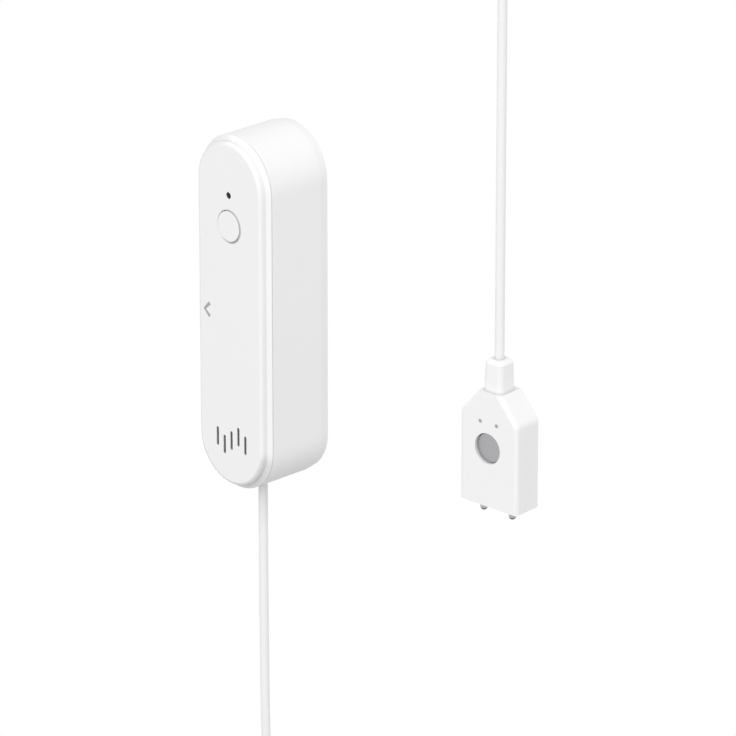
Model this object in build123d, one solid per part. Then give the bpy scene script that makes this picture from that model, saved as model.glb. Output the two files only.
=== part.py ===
from build123d import *
import math
import os

# Water leak detector: a slim wall unit, a thin white cord and a small hanging probe.
# Millimetres. The wall is the plane y = 0, fronts face -Y, +X is right and +Z is up.
# The origin is the centre of the unit's adhesive pad, on its back face.

# Wall unit, outside. Its two ends are half circles
UNIT_W = 25.2
UNIT_H = 90.9
UNIT_D = 20.8
PAD_T = 0.8
PAD_INSET = 2.5
REAR_BEVEL_D = 2.4
REAR_BEVEL_IN = 0.4
PLATE_INSET = 1.25
PLATE_RISE = 1.7
PLATE_FILLET = 0.85
SEAM_FRONT = 2.65
SEAM_GAP = 0.2
SEAM_EDGE_R = 0.3

# Wall unit, walls, lip and snaps
WALL = 1.9
BACK_WALL = 1.5
PLATE_T = 1.9
RIM_WALL = 1.0
LIP_T = 0.8
LIP_FIT = 0.08
LIP_LEN = 2.0
SEAL_T = 0.9
BEAD_OUT = 0.3
BEAD_T = 0.6
BEAD_LEN = 8.0
BEAD_Z = 20.0
BEAD_FIT = 0.05

# Button, light and sound slots. Drops are counted from the top, rises from the bottom
BUTTON_DROP = 22.45
BUTTON_R = 4.05
BUTTON_GAP = 0.25
BUTTON_PROUD = 0.25
BUTTON_EDGE_R = 0.15
BUTTON_FLANGE = 0.7
BUTTON_FLANGE_T = 0.5
BUTTON_FLANGE_FIT = 0.2
BUTTON_POCKET = 0.6
BUTTON_TRAVEL = 0.3
BUTTON_PLAY = 0.05
STEM_R = 1.2
STEM_LEN = 0.2
LED_DROP = 14.55
LED_HOLE_R = 0.85
LED_SIZE = (1.6, 1.0)
LED_T = 0.7
PIPE_FIT = 0.06
PIPE_SET_BACK = 0.9
PIPE_FLANGE = 0.9
PIPE_FLANGE_T = 0.5
SLOT_W = 0.85
SLOT_LEN = 4.9
SLOT_PITCH = 2.52
SLOT_X = 0.32
SLOT_RISE = 12.8
SLOT_STEPS = [-0.2, -1.65, 0.05, 1.7, 0.25]

# Board and what is on it
BOARD_T = 1.0
BOARD_INSET = 2.3
BOARD_ROOM = 1.8
SWITCH_W = 4.5
SWITCH_T = 1.3
PLUNGER_R = 1.0
PLUNGER_FIT = 0.1
PLUNGER_SINK = 0.5
SCREW_R = 0.95
SCREW_LEN = 6.0
SCREW_HEAD_R = 1.6
SCREW_HEAD_T = 1.2
SCREW_CROSS = (2.0, 0.5)
SCREW_FIT = 0.05
SCREW_HOLE_FIT = 0.15
BOSS_R = 1.75
TOP_BOSS_X = 5.4
TOP_BOSS_DROP = 7.95
LOW_BOSS_X = 8.75
LOW_BOSS_RISE = 12.15
RADIO_SIZE = (12.0, 14.0, 1.5)
RADIO_Z = 5.0
RADIO_EDGE_R = 0.6
# Each chip: x, z, width, height and thickness
CHIPS = [
    (-2.6, -8.0, 5.0, 5.0, 0.9),
    (-2.6, -14.6, 3.4, 2.6, 1.2),
    (3.4, -5.0, 1.6, 0.9, 0.7),
    (3.4, -7.2, 1.6, 0.9, 0.7),
    (3.4, -9.4, 1.6, 0.9, 0.7),
    (3.4, -11.6, 1.6, 0.9, 0.7),
    (3.0, -15.4, 3.0, 1.6, 1.0),
]
ANTENNA_W = 8.6
ANTENNA_STRIP = 0.9
ANTENNA_T = 0.3
ANTENNA_RISE = 1.5
ANTENNA_DROP = 6.2
ANTENNA_LEG = 4.2
BUZZER_R = 6.0
BUZZER_T = 3.4
BUZZER_EDGE_R = 0.6
BUZZER_PORT_R = 1.6
BUZZER_PORT_DEEP = 1.5
SOUND_HOLE_R = 2.2
MESH_T = 0.2
GASKET_SIZE = (13.1, 10.6)
GASKET_ROUND = 3.0
GASKET_RIM = 0.8

# Two cells of the common 10.5 mm by 44.5 mm size, head to tail, and their contacts
CELL_R = 5.25
CELL_LEN = 44.5
CELL_EDGE_R = 0.4
CELL_NUB_R = 1.9
CELL_NUB_T = 0.8
CELL_GAP = 0.16
CELL_FIT = 0.1
CELL_BACK_GAP = 0.4
CELL_MID_Z = 2.9
SPRING_GAP = 2.5
CONTACT_T = 0.4
CONTACT_W = 7.0
CONTACT_BACK = 4.0
TAB_W = 2.0
LEAF_W = 4.0
LEAF_FOOT = 3.9
LEAF_TOP = 1.0
LEAF_END = 3.0
LEAF_LIFT = 0.9
CRADLE_T = 1.2
CRADLE_RISE = 4.0
CRADLE_FROM_END = 10.0
END_WALL_FRONT = 12.0
NOTCH_W = 4.4
NOTCH_BACK = 8.0

# Cord where it enters the unit, and its two wires inside
CORD_D = 2.3
CORD_GAP = 2.3
CORD_FIT = 0.15
CORD_END_RISE = 6.75
WIRE_D = 0.9
WIRE_X = 0.62
WIRE_BEND = 1.6
SEAT_W = 7.0
SEAT_T = 1.0
SEAL_R = 2.8
SEAL_LEN = 2.9
SEAL_EDGE = 0.4
CRIMP_R = 2.0
CRIMP_T = 1.0
PLUG_SIZE = (7.5, 3.4)
PLUG_DEEP = 3.2
PLUG_GAP = 0.3
PLUG_EDGE = 0.3

# Cord on its way: the tied coil and the clips
COIL_R = 14.2
COIL_X = 14.2
COIL_Z = -137.0
COIL_SECTION_R = 3.0
TIE_W = 2.6
TIE_T = 0.8
TIE_FIT = 0.1
TIE_HEAD = (4.0, 2.4, 3.6)
TIE_TAIL = (2.6, 0.9, 5.6)
CLIP_L = 9.0
CLIP_W = 12.0
CLIP_BASE = 1.2
CLIP_ROUND = 1.5
CLIP_WALL = 0.9
CLIP_MOUTH = 0.75
WALL_CORD_Y = -3.0

# Probe. It hangs from the last clip and is turned a little about its cord
PROBE_X = 77.1
PROBE_Y = -5.3
PROBE_TURN = 6.0
PROBE_W = 17.6
PROBE_D = 7.75
PROBE_TOP = -0.05
PROBE_H = 28.8
CUT_IN = 5.3
CUT_DOWN = 6.4
SHOULDER_R = 2.0
PROBE_FILLET = 1.1
PROBE_WALL = 1.5
BACK_PLATE_T = 1.2
BACK_PLATE_FIT = 0.05
BACK_PLATE_EDGE = 0.2
RECESS_R = 3.85
RECESS_X = -0.25
RECESS_DEEP = 0.8
RECESS_DROP = 14.0
DISC_FIT = 0.05
DISC_T = 2.0
DISC_EDGE = 0.2
DISC_RIM = 1.0
DOT_R = 0.5
DOT_X = 2.5
DOT_DROP = 7.5
DOT_SET_BACK = 0.05
PROBE_BOARD_T = 1.0
PROBE_BOARD_BACK = 2.0
PROBE_BOARD_SIDE = 0.5
PROBE_BOARD_LOW = 2.5
PROBE_BOARD_HIGH = 0.6
TAB_BOARD_W = 8.0
TAB_BOARD_DROP = 3.0
PIN_R = 0.9
PIN_X = 4.4
PIN_OUT = 3.15
PIN_ROUND = 0.8
PIN_FLANGE_R = 1.5
PIN_FLANGE_T = 0.8
PIN_TAIL_R = 0.6
PIN_TAIL_LEN = 4.0
RELIEF_W = 5.4
RELIEF_BASE_W = 5.7
RELIEF_H = 7.9
RELIEF_ROUND = 1.4
RELIEF_CHAMFER = 0.9
NECK_R = 2.0
NECK_FIT = 0.05
NECK_FLANGE = 0.3
NECK_FLANGE_T = 1.0

# A cut or a joined solid runs on by this much, so that no faces lie on each other
OVER = 1.0
SINK = 0.1

# Depths in the unit, counted forward from the back of the housing
SEAM_D = UNIT_D - SEAM_FRONT
HOUSING_FRONT = SEAM_D - SEAM_GAP / 2
COVER_REAR = SEAM_D + SEAM_GAP / 2
STEP_D = UNIT_D - PLATE_RISE
PLATE_BACK = UNIT_D - PLATE_T
POCKET_D = PLATE_BACK + BUTTON_POCKET
FLANGE_D = POCKET_D - BUTTON_PLAY
PLUNGER_D = FLANGE_D - BUTTON_FLANGE_T - STEM_LEN
BOARD_FRONT = PLATE_BACK - BOARD_ROOM
BOARD_BACK = BOARD_FRONT - BOARD_T
SWITCH_D = BOARD_FRONT + SWITCH_T
BUZZER_D = BOARD_BACK - BUZZER_T
PLUG_D = BOARD_BACK - PLUG_DEEP
CORD_DEPTH = BUZZER_D - CORD_GAP
CELL_D = BACK_WALL + CELL_BACK_GAP + CELL_R
LIP_REAR = HOUSING_FRONT - LIP_LEN
LEDGE_D = LIP_REAR - SEAL_T
LIP_OUT = RIM_WALL + LIP_FIT
LIP_IN = LIP_OUT + LIP_T

# Places in the unit that follow from its height and from what lies next to them
UNIT_TOP = UNIT_H / 2
UNIT_LOW = -UNIT_H / 2
BUTTON_Z = UNIT_TOP - BUTTON_DROP
LED_Z = UNIT_TOP - LED_DROP
SLOT_Z = UNIT_LOW + SLOT_RISE
ANTENNA_Z = UNIT_TOP - ANTENNA_DROP
BUZZER_TOP = SLOT_Z + BUZZER_R
PLUG_Z = BUZZER_TOP + PLUG_GAP + PLUG_SIZE[1] / 2
CORD_END_Z = UNIT_LOW + CORD_END_RISE
CRIMP_Z = CORD_END_Z - CRIMP_T
SEAT_Z = CRIMP_Z - SEAL_LEN
CELL_X = CELL_R + CELL_GAP / 2
CELLS_TOP = CELL_MID_Z + (CELL_LEN + SPRING_GAP) / 2
CELLS_LOW = CELL_MID_Z - (CELL_LEN + SPRING_GAP) / 2
INNER_W = UNIT_W - 2 * WALL
BOSS_PLACES = [
    (-TOP_BOSS_X, UNIT_TOP - TOP_BOSS_DROP),
    (TOP_BOSS_X, UNIT_TOP - TOP_BOSS_DROP),
    (-LOW_BOSS_X, UNIT_LOW + LOW_BOSS_RISE),
    (LOW_BOSS_X, UNIT_LOW + LOW_BOSS_RISE),
]
CORD_R = CORD_D / 2
CORD_Y = -(PAD_T + CORD_DEPTH)
CELL_Y = -(PAD_T + CELL_D)

# Places in the probe, about its own upright axis
PROBE_FRONT = PROBE_D / 2
PROBE_BACK = -PROBE_D / 2
PROBE_FLOOR = PROBE_TOP - PROBE_H
PROBE_ROOF = PROBE_TOP - PROBE_WALL
PROBE_BASE = PROBE_FLOOR + PROBE_WALL
RECESS_Z = PROBE_TOP - RECESS_DROP
RECESS_FLOOR = PROBE_FRONT - RECESS_DEEP
DOT_Z = PROBE_TOP - DOT_DROP
PROBE_BOARD_D = PROBE_BACK + PROBE_BOARD_BACK
RELIEF_TOP = PROBE_TOP + RELIEF_H

# The cord's route after the coil, along the wall and over to the probe
RETURN_ROUTE = [
    (COIL_X, CORD_Y, COIL_Z - COIL_R),
    (40.0, -9.2, -152.6),
    (74.0, -4.2, -151.6),
    (108.0, WALL_CORD_Y, -149.4),
    (136.0, WALL_CORD_Y, -148.2),
    (151.0, WALL_CORD_Y, -141.0),
    (158.0, WALL_CORD_Y, -124.0),
    (159.6, WALL_CORD_Y, -92.0),
    (158.2, WALL_CORD_Y, -40.0),
    (159.4, WALL_CORD_Y, 16.0),
    (158.0, WALL_CORD_Y, 70.0),
    (157.8, WALL_CORD_Y, 112.0),
    (150.8, WALL_CORD_Y, 130.0),
    (134.0, WALL_CORD_Y, 137.6),
    (111.0, WALL_CORD_Y, 136.2),
    (91.0, WALL_CORD_Y, 139.4),
    (PROBE_X + 3.4, WALL_CORD_Y - 0.5, 132.0),
    (PROBE_X, PROBE_Y, 118.0),
    (PROBE_X, PROBE_Y, PROBE_ROOF - NECK_FLANGE_T),
]
# Each clip sits on a run of the route, at a share of its length
CLIP_PLACES = [(3, 0.5), (7, 0.5), (9, 0.5), (13, 0.5), (17, 0.1)]


def at_depth(depth):
    return Plane.XZ.offset(PAD_T + depth)


def outline(inset):
    return SlotOverall(UNIT_H - 2 * inset, UNIT_W - 2 * inset, rotation=90)


def slab(inset, start, end):
    return extrude(at_depth(start) * outline(inset), end - start)


def disc(x, z, radius, start, end):
    return extrude(at_depth(start) * Pos(x, z) * Circle(radius), end - start)


def block(x, z, size_x, size_z, start, end):
    return extrude(at_depth(start) * Pos(x, z) * Rectangle(size_x, size_z), end - start)


def upright(x, y, radius, low, high):
    return extrude(Plane.XY.offset(low) * Pos(x, y) * Circle(radius), high - low)


def edges_near(shape, axis, value):
    found = []
    for edge in shape.edges():
        low = getattr(edge.bounding_box().min, axis)
        high = getattr(edge.bounding_box().max, axis)
        if abs(low - value) < 0.01 and abs(high - value) < 0.01:
            found.append(edge)
    return found


def longest_loop(shape, depth):
    y = -(PAD_T + depth)
    faces = [face for face in shape.faces() if abs(face.center().Y - y) < 0.01]
    biggest = max(faces, key=lambda face: face.bounding_box().diagonal)
    return biggest.outer_wire().edges()


def draft_angle(inward, along):
    return math.degrees(math.atan(inward / along))


def make_pad():
    return extrude(Plane.XZ * outline(PAD_INSET), PAD_T)


def cell_saddle(z):
    front = BACK_WALL + CRADLE_RISE
    saddle = block(0, z, INNER_W + 2 * SINK, CRADLE_T, BACK_WALL - SINK, front)
    for x in (-CELL_X, CELL_X):
        saddle -= upright(x, CELL_Y, CELL_R + CELL_FIT, z - CRADLE_T, z + CRADLE_T)
    return saddle


def end_wall(middle):
    wall = block(0, middle, INNER_W + 2 * SINK, CRADLE_T, BACK_WALL - SINK, END_WALL_FRONT)
    return wall - block(0, middle, NOTCH_W, CRADLE_T + OVER, NOTCH_BACK, END_WALL_FRONT + OVER)


def cord_seat():
    low = UNIT_LOW + WALL - SEAT_T
    seat = Plane.XY.offset(low) * Pos(0, CORD_Y) * Rectangle(SEAT_W, SEAT_W)
    return extrude(seat, SEAT_Z - low)


def make_housing():
    bevel = draft_angle(REAR_BEVEL_IN, REAR_BEVEL_D)
    body = extrude(at_depth(0) * outline(REAR_BEVEL_IN), REAR_BEVEL_D, taper=-bevel)
    body += slab(0, REAR_BEVEL_D, HOUSING_FRONT)
    body = fillet(longest_loop(body, HOUSING_FRONT), SEAM_EDGE_R)
    body -= slab(WALL, BACK_WALL, UNIT_D)
    body -= slab(RIM_WALL, LEDGE_D, UNIT_D)
    body += cord_seat()
    body -= upright(0, CORD_Y, CORD_R + CORD_FIT, UNIT_LOW - OVER, SEAT_Z + OVER)
    body += cell_saddle(CELLS_TOP - CRADLE_FROM_END)
    body += cell_saddle(CELLS_LOW + CRADLE_FROM_END)
    body += end_wall(CELLS_TOP + CONTACT_T + CRADLE_T / 2)
    body += end_wall(CELLS_LOW - CONTACT_T - CRADLE_T / 2)
    for x, z in BOSS_PLACES:
        body += disc(x, z, BOSS_R, BACK_WALL - SINK, BOARD_BACK)
    for x, z in BOSS_PLACES:
        body -= disc(x, z, SCREW_R + SCREW_FIT, BOARD_BACK - SCREW_LEN - SINK, BOARD_BACK + OVER)
    for bead in snap_beads(BEAD_FIT):
        body -= bead
    return body


def snap_beads(extra):
    beads = []
    lip_side = UNIT_W / 2 - LIP_OUT
    depth = LIP_REAR + LIP_LEN / 2
    half = BEAD_T / 2 + extra
    for side in (-1, 1):
        for z in (-BEAD_Z, BEAD_Z):
            wide = 2 * (BEAD_OUT + extra)
            beads.append(block(side * lip_side, z, wide, BEAD_LEN + 2 * extra, depth - half, depth + half))
    return beads


def make_seal_ring():
    return slab(LIP_OUT, LEDGE_D, LIP_REAR) - slab(LIP_IN, LEDGE_D - OVER, LIP_REAR + OVER)


def make_cover():
    bevel_d = STEP_D - COVER_REAR
    bevel = draft_angle(PLATE_INSET, bevel_d)
    body = extrude(at_depth(COVER_REAR) * outline(0), bevel_d, taper=bevel)
    plate = slab(PLATE_INSET, STEP_D, UNIT_D)
    body += fillet(longest_loop(plate, UNIT_D), PLATE_FILLET)
    body += slab(LIP_OUT, LIP_REAR, COVER_REAR + SINK)
    hollow = slab(LIP_IN, LIP_REAR - OVER, PLATE_BACK)
    body -= hollow
    for bead in snap_beads(0):
        body += bead - hollow
    pocket_r = BUTTON_R + BUTTON_FLANGE + BUTTON_FLANGE_FIT
    body -= disc(0, BUTTON_Z, pocket_r, PLATE_BACK - OVER, POCKET_D)
    body -= disc(0, BUTTON_Z, BUTTON_R, PLATE_BACK, UNIT_D + OVER)
    body -= disc(0, LED_Z, LED_HOLE_R, PLATE_BACK - OVER, UNIT_D + OVER)
    for x, z in slot_places():
        hole = SlotOverall(SLOT_LEN, SLOT_W, rotation=90)
        body -= extrude(at_depth(PLATE_BACK - OVER) * Pos(x, z) * hole, PLATE_T + 2 * OVER)
    return body


def slot_places():
    middle = (len(SLOT_STEPS) - 1) / 2
    return [(SLOT_X + (place - middle) * SLOT_PITCH, SLOT_Z + step) for place, step in enumerate(SLOT_STEPS)]


def make_button_cap():
    front = UNIT_D + BUTTON_PROUD
    cap = disc(0, BUTTON_Z, BUTTON_R - BUTTON_GAP, FLANGE_D - SINK, front)
    cap = fillet(longest_loop(cap, front), BUTTON_EDGE_R)
    cap += disc(0, BUTTON_Z, BUTTON_R + BUTTON_FLANGE, FLANGE_D - BUTTON_FLANGE_T, FLANGE_D)
    return cap + disc(0, BUTTON_Z, STEM_R, PLUNGER_D, FLANGE_D)


def make_switch():
    body = block(0, BUTTON_Z, SWITCH_W, SWITCH_W, BOARD_FRONT, SWITCH_D)
    well = PLUNGER_SINK + BUTTON_TRAVEL + PLUNGER_FIT
    return body - disc(0, BUTTON_Z, PLUNGER_R + PLUNGER_FIT, SWITCH_D - well, SWITCH_D + OVER)


def make_plunger():
    return disc(0, BUTTON_Z, PLUNGER_R, SWITCH_D - PLUNGER_SINK, PLUNGER_D)


def make_light_pipe():
    rod = disc(0, LED_Z, LED_HOLE_R - PIPE_FIT, PLATE_BACK - 2 * PIPE_FLANGE_T, UNIT_D - PIPE_SET_BACK)
    return rod + disc(0, LED_Z, LED_HOLE_R + PIPE_FLANGE, PLATE_BACK - PIPE_FLANGE_T, PLATE_BACK)


def make_status_led():
    return block(0, LED_Z, *LED_SIZE, BOARD_FRONT, BOARD_FRONT + LED_T)


def make_board():
    board = slab(BOARD_INSET, BOARD_BACK, BOARD_FRONT)
    board -= disc(0, SLOT_Z, SOUND_HOLE_R, BOARD_BACK - OVER, BOARD_FRONT + OVER)
    for x, z in BOSS_PLACES:
        board -= disc(x, z, SCREW_R + SCREW_HOLE_FIT, BOARD_BACK - OVER, BOARD_FRONT + OVER)
    return board


def make_screw(x, z):
    head_front = BOARD_FRONT + SCREW_HEAD_T
    screw = disc(x, z, SCREW_R, BOARD_BACK - SCREW_LEN, BOARD_FRONT + SINK)
    screw += disc(x, z, SCREW_HEAD_R, BOARD_FRONT, head_front)
    long, narrow = SCREW_CROSS
    cross_back = BOARD_FRONT + SCREW_HEAD_T / 2
    screw -= block(x, z, long, narrow, cross_back, head_front + OVER)
    return screw - block(x, z, narrow, long, cross_back, head_front + OVER)


def make_radio():
    wide, tall, thick = RADIO_SIZE
    can = block(0, RADIO_Z, wide, tall, BOARD_FRONT, BOARD_FRONT + thick)
    return fillet(can.edges().filter_by(Axis.Y), RADIO_EDGE_R)


def make_chips():
    chips = []
    for x, z, wide, tall, thick in CHIPS:
        chips.append(block(x, z, wide, tall, BOARD_FRONT, BOARD_FRONT + thick))
    return Compound(children=chips)


def make_antenna():
    front = BOARD_FRONT + ANTENNA_RISE
    back = front - ANTENNA_T
    left = -(ANTENNA_W - ANTENNA_STRIP) / 2
    foot_z = ANTENNA_Z - ANTENNA_LEG
    strip = block(0, ANTENNA_Z, ANTENNA_W, ANTENNA_STRIP, back, front)
    for x in (left, 0.0):
        leg_z = (ANTENNA_Z + foot_z) / 2
        strip += block(x, leg_z, ANTENNA_STRIP, ANTENNA_LEG, back, front)
        strip += block(x, foot_z, ANTENNA_STRIP, ANTENNA_STRIP, BOARD_FRONT, front)
    return strip


def make_buzzer():
    can = disc(0, SLOT_Z, BUZZER_R, BUZZER_D, BOARD_BACK)
    can = fillet(longest_loop(can, BUZZER_D), BUZZER_EDGE_R)
    return can - disc(0, SLOT_Z, BUZZER_PORT_R, BOARD_BACK - BUZZER_PORT_DEEP, BOARD_BACK + OVER)


def sound_pad(rim, start, end):
    wide, tall = GASKET_SIZE
    shape = RectangleRounded(wide - 2 * rim, tall - 2 * rim, GASKET_ROUND - rim)
    return extrude(at_depth(start) * Pos(SLOT_X, SLOT_Z) * shape, end - start)


def make_mesh():
    return sound_pad(0, PLATE_BACK - MESH_T, PLATE_BACK)


def make_gasket():
    ring = sound_pad(0, BOARD_FRONT, PLATE_BACK - MESH_T)
    return ring - sound_pad(GASKET_RIM, BOARD_FRONT - OVER, PLATE_BACK)


def make_cell(side):
    # The left cell stands with its nub up, the right one with its nub down
    nub_z = CELLS_TOP if side < 0 else CELLS_LOW
    up = -side
    shoulder = nub_z - up * CELL_NUB_T
    flat = nub_z - up * CELL_LEN
    x = side * CELL_X
    body = upright(x, CELL_Y, CELL_R, min(shoulder, flat), max(shoulder, flat))
    body = fillet(edges_near(body, "Z", shoulder) + edges_near(body, "Z", flat), CELL_EDGE_R)
    inside = shoulder - up * SINK
    return body + upright(x, CELL_Y, CELL_NUB_R, min(inside, nub_z), max(inside, nub_z))


def contact_leaf(x, base, up):
    lift = base + up * SPRING_GAP
    under = up * CONTACT_T
    leaf_points = [
        (CELL_Y + LEAF_FOOT, base - under),
        (CELL_Y + LEAF_FOOT, base),
        (CELL_Y + LEAF_TOP, lift),
        (CELL_Y - LEAF_TOP, lift),
        (CELL_Y - LEAF_END, base + up * LEAF_LIFT),
        (CELL_Y - LEAF_END + CONTACT_T, base + up * LEAF_LIFT - under / 2),
        (CELL_Y - LEAF_TOP + CONTACT_T / 2, lift - under),
        (CELL_Y + LEAF_TOP - CONTACT_T / 2, lift - under),
        (CELL_Y + LEAF_FOOT - CONTACT_T, base - under),
    ]
    profile = make_face(Polyline(*leaf_points, close=True))
    return extrude(Plane.YZ.offset(x - LEAF_W / 2) * profile, LEAF_W)


def contact_plate(x, z, wide):
    return block(x, z, wide, CONTACT_T, CELL_D - CONTACT_BACK, END_WALL_FRONT)


def contact_tab(x, z):
    return block(x, z, TAB_W, CONTACT_T, CELL_D, BOARD_BACK)


def make_bridge_contact():
    plate = contact_plate(0, CELLS_TOP + CONTACT_T / 2, 2 * CELL_X + CONTACT_W)
    return plate + contact_leaf(CELL_X, CELLS_TOP, -1)


def make_positive_contact():
    z = CELLS_LOW - CONTACT_T / 2
    return contact_plate(CELL_X, z, CONTACT_W) + contact_tab(CELL_X, z)


def make_negative_contact():
    z = CELLS_LOW - CONTACT_T / 2
    plate = contact_plate(-CELL_X, z, CONTACT_W) + contact_tab(-CELL_X, z)
    return plate + contact_leaf(-CELL_X, CELLS_LOW, 1)


def make_wire_plug():
    plug = block(0, PLUG_Z, *PLUG_SIZE, PLUG_D, BOARD_BACK)
    return chamfer(edges_near(plug, "Y", -(PAD_T + PLUG_D)), PLUG_EDGE)


def make_wire(side):
    x = side * WIRE_X
    path = FilletPolyline(
        (x, CORD_Y, CORD_END_Z),
        (x, CORD_Y, PLUG_Z),
        (x, -(PAD_T + PLUG_D), PLUG_Z),
        radius=WIRE_BEND,
    )
    section = Plane(origin=(x, CORD_Y, CORD_END_Z), z_dir=(0, 0, 1)) * Circle(WIRE_D / 2)
    return sweep(section, path=path)


def make_cord_seal():
    seal = upright(0, CORD_Y, SEAL_R, SEAT_Z, CRIMP_Z)
    seal = chamfer(edges_near(seal, "Z", CRIMP_Z), SEAL_EDGE)
    return seal - upright(0, CORD_Y, CORD_R, SEAT_Z - OVER, CRIMP_Z + OVER)


def make_crimp():
    ring = upright(0, CORD_Y, CRIMP_R, CRIMP_Z, CORD_END_Z)
    return ring - upright(0, CORD_Y, CORD_R, CRIMP_Z - OVER, CORD_END_Z + OVER)


def make_cord_drop():
    return upright(0, CORD_Y, CORD_R, COIL_Z, CORD_END_Z)


def make_coil():
    section = Plane.XZ * Pos(COIL_R, 0) * Circle(COIL_SECTION_R)
    ring = revolve(section, Axis.Z)
    return Pos(COIL_X, CORD_Y, COIL_Z) * Rot(90, 0, 0) * ring


def tie_ring(radius, wide):
    place = Plane.YZ.offset(COIL_X - wide / 2) * Pos(CORD_Y, COIL_Z + COIL_R)
    return extrude(place * Circle(radius), wide)


def make_coil_tie():
    top = COIL_Z + COIL_R
    inner = COIL_SECTION_R + TIE_FIT
    hoop = tie_ring(inner + TIE_T, TIE_W) - tie_ring(inner, TIE_W + OVER)
    head_y = CORD_Y - inner - TIE_HEAD[1] / 2
    head = Pos(COIL_X, head_y, top) * Box(*TIE_HEAD)
    tail_z = top - (TIE_HEAD[2] + TIE_TAIL[2]) / 2 + SINK
    tail = Pos(COIL_X, head_y, tail_z) * Box(*TIE_TAIL)
    return hoop + head + tail


def route_radii(points):
    radii = []
    for before, corner, after in zip(points, points[1:], points[2:]):
        first = Vector(*corner) - Vector(*before)
        second = Vector(*after) - Vector(*corner)
        half_turn = math.radians(first.get_angle(second)) / 2
        radii.append(0.45 * min(first.length, second.length) / math.tan(half_turn))
    return radii


def make_cord_return():
    radii = route_radii(RETURN_ROUTE)
    path = FilletPolyline(*RETURN_ROUTE, radius=radii)
    heading = Vector(*RETURN_ROUTE[1]) - Vector(*RETURN_ROUTE[0])
    section = Plane(origin=RETURN_ROUTE[0], z_dir=heading.normalized()) * Circle(CORD_R)
    tube = sweep(section, path=path)
    runs = [(Vector(*b) - Vector(*a)).length for a, b in zip(RETURN_ROUTE, RETURN_ROUTE[1:])]
    print("return runs", [round(run, 1) for run in runs])
    print("return radii", [round(radius, 1) for radius in radii], "least", round(min(radii), 1))
    expected = math.pi * CORD_R ** 2 * path.length
    print("return length", round(path.length, 1), "volume ratio", round(tube.volume / expected, 4))
    return tube


def make_clip(run, share):
    start = Vector(*RETURN_ROUTE[run])
    end = Vector(*RETURN_ROUTE[run + 1])
    middle = start + (end - start) * share
    along = (end - start).normalized()
    place = Plane(origin=middle, x_dir=along, z_dir=(0, -1, 0))
    bore = CORD_R + CORD_FIT
    outer = bore + CLIP_WALL
    wall = middle.Y
    base = Pos(0, 0, wall + CLIP_BASE / 2) * Box(CLIP_L, CLIP_W, CLIP_BASE)
    base = fillet(base.edges().filter_by(Axis.Z), CLIP_ROUND)
    collar = Rot(0, 90, 0) * Cylinder(outer, CLIP_L)
    foot_low = wall + CLIP_BASE / 2
    foot = Pos(0, 0, foot_low / 2) * Box(CLIP_L, 2 * outer, -foot_low)
    hole = Rot(0, 90, 0) * Cylinder(bore, CLIP_L + 2 * OVER)
    mouth = Pos(0, -outer, outer / 2) * Box(CLIP_L + 2 * OVER, 2 * outer, 2 * CLIP_MOUTH)
    return place * (base + collar + foot - hole - mouth)


def hang(shape):
    return Pos(PROBE_X, PROBE_Y) * Rot(0, 0, PROBE_TURN) * shape


def probe_outline(inset):
    half = PROBE_W / 2 - inset
    top = PROBE_TOP - inset
    low = PROBE_FLOOR + inset
    slant = math.hypot(CUT_IN, CUT_DOWN)
    shoulder_x = PROBE_W / 2 - CUT_IN - inset * (slant - CUT_IN) / CUT_DOWN
    shoulder_z = PROBE_TOP - CUT_DOWN - inset * (slant - CUT_DOWN) / CUT_IN
    points = [
        (-half, low),
        (half, low),
        (half, shoulder_z),
        (shoulder_x, top),
        (-shoulder_x, top),
        (-half, shoulder_z),
    ]
    face = make_face(Polyline(*points, close=True))
    shoulders = [corner for corner in face.vertices() if abs(corner.Y - shoulder_z) < 0.01]
    return fillet(shoulders, SHOULDER_R)


def probe_slab(inset, back, front):
    return extrude(Plane.XZ.offset(back) * probe_outline(inset), front - back)


def probe_round(x, z, radius, back, front):
    return extrude(Plane.XZ.offset(back) * Pos(x, z) * Circle(radius), front - back)


def make_probe_shell():
    shell = probe_slab(0, PROBE_BACK, PROBE_FRONT)
    tall = shell.edges().filter_by(Axis.Z)
    forward = [edge for edge in tall if abs(edge.center().Y + PROBE_FRONT) < 0.01]
    shell = fillet(forward, PROBE_FILLET)
    inner_front = PROBE_FRONT - PROBE_WALL
    shell -= probe_slab(PROBE_WALL, PROBE_BACK - OVER, inner_front)
    disc_back = RECESS_FLOOR - DISC_T
    shell += probe_round(RECESS_X, RECESS_Z, RECESS_R + DISC_RIM, disc_back, inner_front + SINK)
    shell -= probe_round(RECESS_X, RECESS_Z, RECESS_R, disc_back - OVER, PROBE_FRONT + OVER)
    for side in (-1, 1):
        shell -= probe_round(side * DOT_X, DOT_Z, DOT_R, inner_front - OVER, PROBE_FRONT + OVER)
        shell -= upright(side * PIN_X, 0, PIN_R, PROBE_FLOOR - OVER, PROBE_BASE + OVER)
    return shell - upright(0, 0, NECK_R + NECK_FIT, PROBE_ROOF - OVER, PROBE_TOP + OVER)


def make_probe_back():
    plate = probe_slab(PROBE_WALL + BACK_PLATE_FIT, PROBE_BACK, PROBE_BACK + BACK_PLATE_T)
    return chamfer(edges_near(plate, "Y", -PROBE_BACK), BACK_PLATE_EDGE)


def make_probe_disc():
    plug = probe_round(RECESS_X, RECESS_Z, RECESS_R - DISC_FIT, RECESS_FLOOR - DISC_T, RECESS_FLOOR)
    return chamfer(edges_near(plug, "Y", -RECESS_FLOOR), DISC_EDGE)


def make_probe_dot(side):
    back = PROBE_BOARD_D + PROBE_BOARD_T
    return probe_round(side * DOT_X, DOT_Z, DOT_R, back, PROBE_FRONT - DOT_SET_BACK)


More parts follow.
